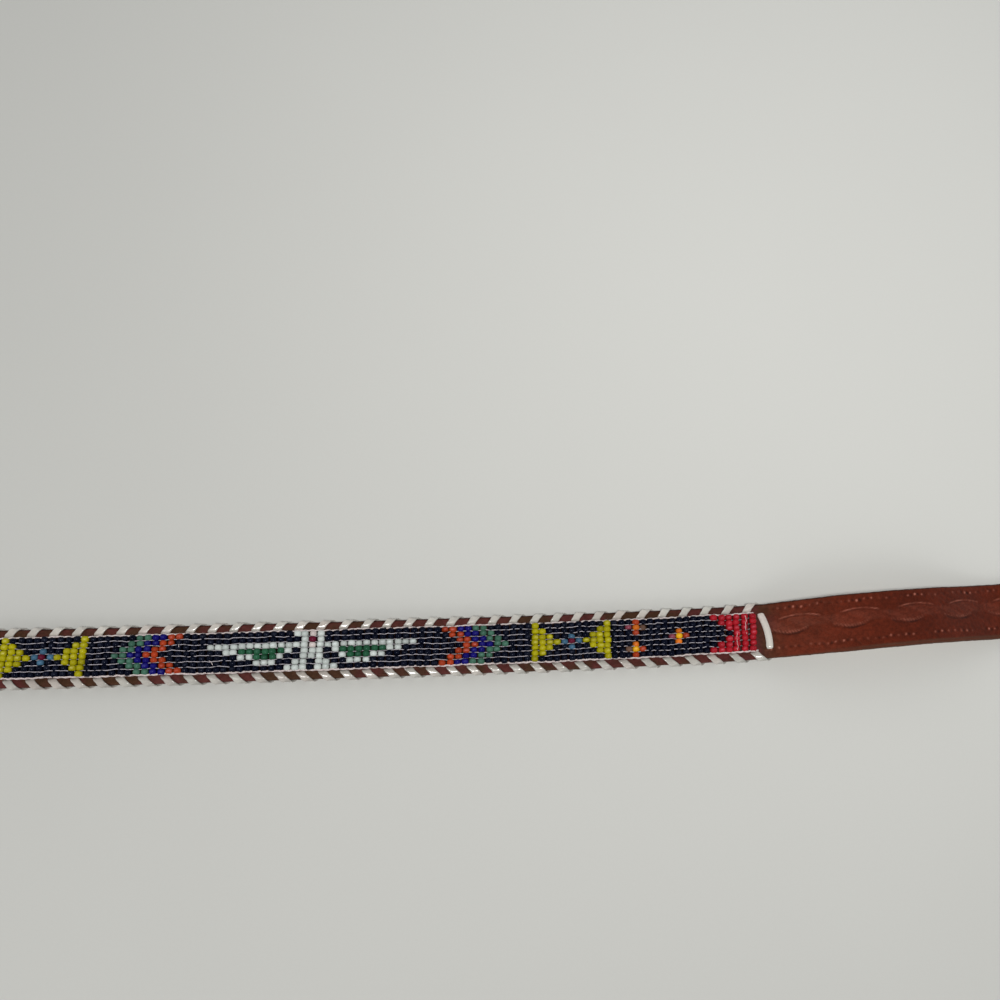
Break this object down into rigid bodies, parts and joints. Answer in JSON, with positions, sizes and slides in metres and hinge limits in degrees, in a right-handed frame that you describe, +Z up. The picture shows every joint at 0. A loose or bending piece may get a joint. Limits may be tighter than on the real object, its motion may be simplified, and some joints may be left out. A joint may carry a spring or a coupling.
{
  "type": "beaded leather belt",
  "caption": "Leather belt lying face up, with a woven panel of seed beads and white lacing over both edges, a plain frame buckle and a punched tip.",
  "frame": {"origin": "on the table, under the middle of the whole belt's box", "axes": "+X along the belt towards the punched tip, +Y towards the belt's far edge, +Z up out of the beaded face"},
  "size_m": [1.0252, 0.0394, 0.0162],
  "materials": {
    "strap_leather": "satin red-brown, tooled",
    "seed_beads": "glossy glass seed beads, mostly navy",
    "white_lace": "glossy flat vinyl lace",
    "buckle_metal": "satin, lightly worn"
  },
  "bodies": {
    "root": {"strap": "strap_leather", "bead_panel": "seed_beads", "lacing_far": "white_lace", "lacing_near": "white_lace", "end_lace_right": "white_lace", "end_lace_left": "white_lace", "buckle": "buckle_metal", "keeper_loop": "strap_leather"}
  },
  "joints": []
}
